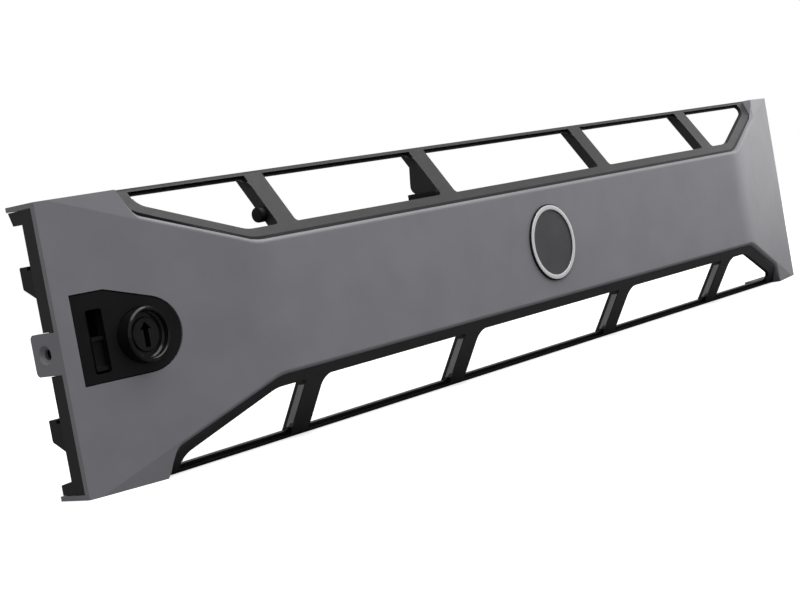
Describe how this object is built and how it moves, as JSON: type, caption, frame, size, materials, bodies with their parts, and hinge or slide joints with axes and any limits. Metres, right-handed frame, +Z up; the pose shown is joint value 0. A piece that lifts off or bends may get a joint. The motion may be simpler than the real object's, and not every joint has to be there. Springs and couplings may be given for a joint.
{
  "type": "server front bezel",
  "caption": "Bow-tie front bezel for a two-unit rack server, with air windows, a keylock and a sliding release latch.",
  "frame": {"origin": "middle of the bezel's box: width, depth from badge to hook tips, and height", "axes": "+X along the bezel to the right seen from the front, +Y back into the rack, +Z up"},
  "size_m": [0.445, 0.0338, 0.0864],
  "materials": {
    "shell_paint": "fine metallic grey paint on a moulding",
    "frame_black": "black moulding, fine grain",
    "plate_black": "black, smoother",
    "badge_chrome": "bright plated",
    "badge_dark": "dark grey satin",
    "lock_black": "black plated zinc, glossy",
    "zinc_steel": "zinc plated steel",
    "latch_black": "black moulding"
  },
  "bodies": {
    "bezel": {"front_shell": "shell_paint", "inner_frame": "frame_black", "badge_ring": "badge_chrome", "badge_disc": "badge_dark", "lock_plate": "plate_black", "plate_screws": "zinc_steel", "lock_housing": "lock_black", "lock_washer": "zinc_steel", "lock_nut": "zinc_steel", "latch_spring": "zinc_steel", "latch_cover": "latch_black", "cover_screws": "zinc_steel", "hook_bracket": "latch_black", "hook_screws": "zinc_steel", "frame_screws": "zinc_steel"},
    "lock": {"lock_core": "lock_black", "lock_cam": "zinc_steel", "cam_screw": "zinc_steel"},
    "latch": {"release_slider": "plate_black", "slider_screw": "zinc_steel", "latch_bar": "latch_black"}
  },
  "joints": [
    {"name": "lock_turn", "type": "hinge", "parent": "bezel", "child": "lock", "pos_m": [-0.1968, 0.0021, 0], "axis": [0, 1, 0], "range_deg": [0, 90]},
    {"name": "latch_slide", "type": "slide", "parent": "bezel", "child": "latch", "axis": [0, 0, 1], "range_m": [0, 0.0065], "stiffness_N_per_m": 150, "springref_m": -0.004, "deforming": ["latch_spring"]}
  ]
}
